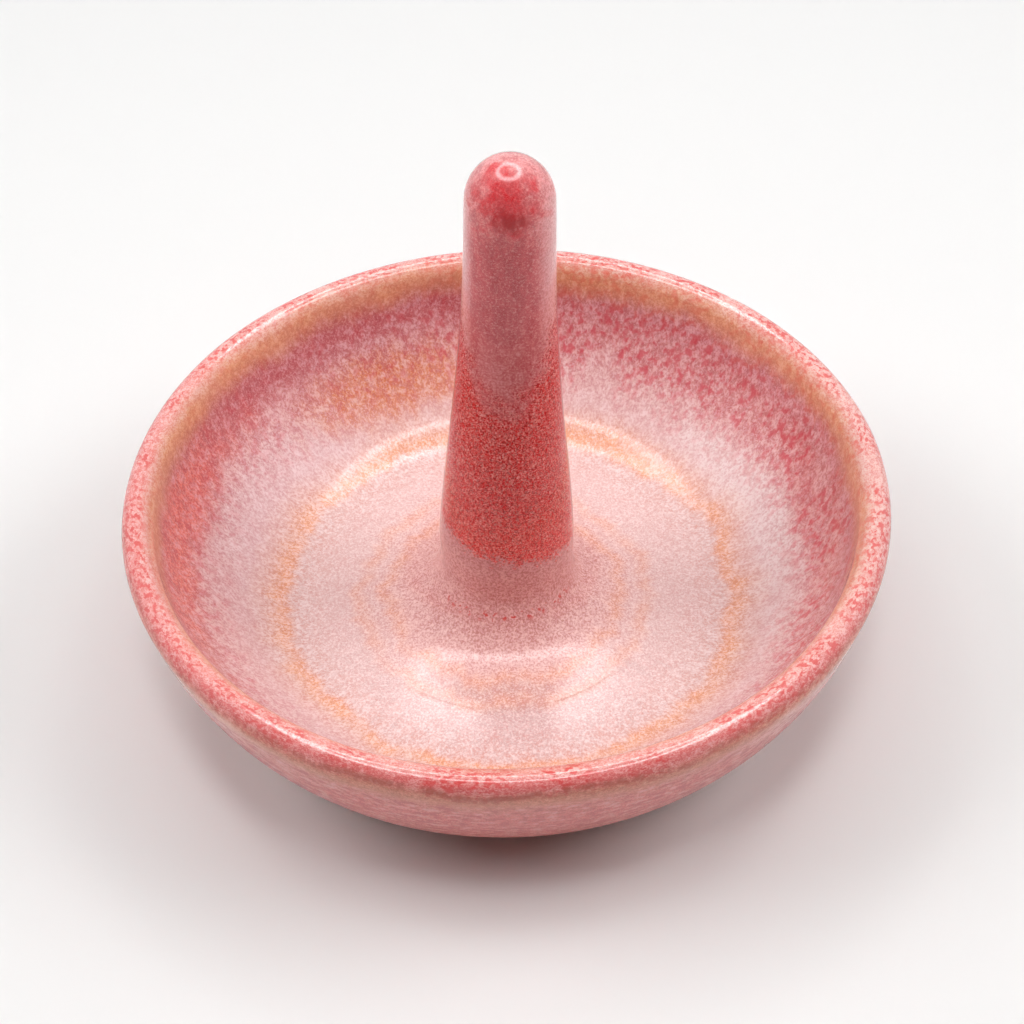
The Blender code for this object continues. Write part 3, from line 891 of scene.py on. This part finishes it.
# Lengths are in metres from here on
TABLE_HALF = 1.5
TABLE_COLOUR = (0.90, 0.895, 0.89, 1)
TABLE_ROUGHNESS = 0.8
table_mesh = bpy.data.meshes.new("table")
table_shape = bmesh.new()
bmesh.ops.create_grid(table_shape, x_segments=1, y_segments=1, size=TABLE_HALF)
table_shape.to_mesh(table_mesh)
table_shape.free()
table = bpy.data.objects.new("table", table_mesh)
bpy.context.scene.collection.objects.link(table)
table_look = bpy.data.materials.new("pale_table")
table_look.use_nodes = True
table_shader = table_look.node_tree.nodes["Principled BSDF"]
table_shader.inputs["Base Color"].default_value = TABLE_COLOUR
table_shader.inputs["Roughness"].default_value = TABLE_ROUGHNESS
table_shader.inputs["Specular IOR Level"].default_value = 0.0
table.data.materials.append(table_look)


def lamp(name, location, radius, power):
    """A round lamp that shines straight down, with its power in watts."""
    data = bpy.data.lights.new(name, "AREA")
    data.shape = "DISK"
    data.size = 2 * radius
    data.energy = power
    light = bpy.data.objects.new(name, data)
    light.location = location
    bpy.context.scene.collection.objects.link(light)
    return light


# Where a lamp's own coordinates, from 0 to 1 both ways, have their middle
LAMP_MIDDLE = (0.5, 0.5, 0.0)
ACROSS_ONLY = (1.0, 1.0, 0.0)
RING_PLACE = (0.0, 0.0826, 0.390)
RING_RADIUS = 0.1735
RING_HOLE_SHARE = 0.66
RING_POWER = 1.4
RING_SHINE_POWER = 4.3
SOFTBOXES = (
    ("front_softbox", (0.0, -0.25, 0.86), 0.08, 1.0),
    ("left_softbox", (-0.90, 0.06, 0.80), 0.40, 8.2),
    ("right_softbox", (0.92, 0.02, 0.80), 0.40, 8.9),
)


def ring_lamp(name, power):
    """A round lamp that shines from its outer tube alone."""
    ring = lamp(name, RING_PLACE, RING_RADIUS, power)
    ring.data.use_nodes = True
    tree = ring.data.node_tree
    across = tree.nodes.new("ShaderNodeNewGeometry").outputs["Parametric"]
    from_middle = vector_calc(tree, "SUBTRACT", across, LAMP_MIDDLE)
    flat_from_middle = vector_calc(tree, "MULTIPLY", from_middle, ACROSS_ONLY)
    off_middle = vector_calc(tree, "LENGTH", flat_from_middle)
    tube = calc(tree, "GREATER_THAN", off_middle, RING_HOLE_SHARE / 2)
    tree.links.new(tube, tree.nodes["Emission"].inputs["Strength"])
    return ring


ring_lamp("ring_lamp", RING_POWER)
ring_lamp("ring_shine", RING_SHINE_POWER).visible_diffuse = False
for name, location, radius, power in SOFTBOXES:
    lamp(name, location, radius, power).visible_glossy = False

# The studio gives an even fill, weaker from above. The glaze mirrors pale walls with one
# dark side, in front and above, and the camera sees the backdrop.
FILL = 0.16
HIGH_FILL = FILL / 10
HIGH_START = (0.1, 0.6)
WALL_GLOW = 1.0
DARK_SIDE_GLOW = 0.12
DARK_SIDE = (0.0, -0.71, 0.70)
DARK_SIDE_EDGE = (0.45, 0.9)
BACKDROP = 0.93
world = bpy.data.worlds.new("studio")
bpy.context.scene.world = world
world.use_nodes = True
studio = world.node_tree
background = studio.nodes["Background"]
background.inputs["Color"].default_value = (1.0, 1.0, 1.0, 1)
light_path = studio.nodes.new("ShaderNodeLightPath")
direction = studio.nodes.new("ShaderNodeTexCoord").outputs["Generated"]
to_dark_side = vector_calc(studio, "DOT_PRODUCT", direction, DARK_SIDE)
walls = fade(studio, to_dark_side, *DARK_SIDE_EDGE, WALL_GLOW, DARK_SIDE_GLOW)
height = shader_node(studio, "ShaderNodeSeparateXYZ", {0: direction}).outputs["Z"]
soft = fade(studio, height, *HIGH_START, FILL, HIGH_FILL)
shiny = blend(studio, light_path.outputs["Is Glossy Ray"], soft, walls, NUMBERS)
seen_by = (light_path.outputs["Is Camera Ray"], light_path.outputs["Is Transmission Ray"])
strength = blend(studio, calc(studio, "MAXIMUM", *seen_by), shiny, BACKDROP, NUMBERS)
studio.links.new(strength, background.inputs["Strength"])

CAMERA_PLACE = Vector((0.0008, -0.1942, 0.2181))
CAMERA_TARGET = Vector((0.0008, 0.0, 0.02325))
CAMERA_ROLL = math.radians(-1.7)
LENS_MM = 70.3125
SENSOR_MM = 36.0
camera_data = bpy.data.cameras.new("camera")
camera_data.lens = LENS_MM
camera_data.sensor_width = SENSOR_MM
camera = bpy.data.objects.new("camera", camera_data)
bpy.context.scene.collection.objects.link(camera)
aim = (CAMERA_TARGET - CAMERA_PLACE).to_track_quat("-Z", "Y").to_matrix().to_4x4()
camera.matrix_world = Matrix.Translation(CAMERA_PLACE) @ aim @ Matrix.Rotation(CAMERA_ROLL, 4, "Z")
bpy.context.scene.camera = camera
bpy.context.scene.view_settings.view_transform = "Standard"
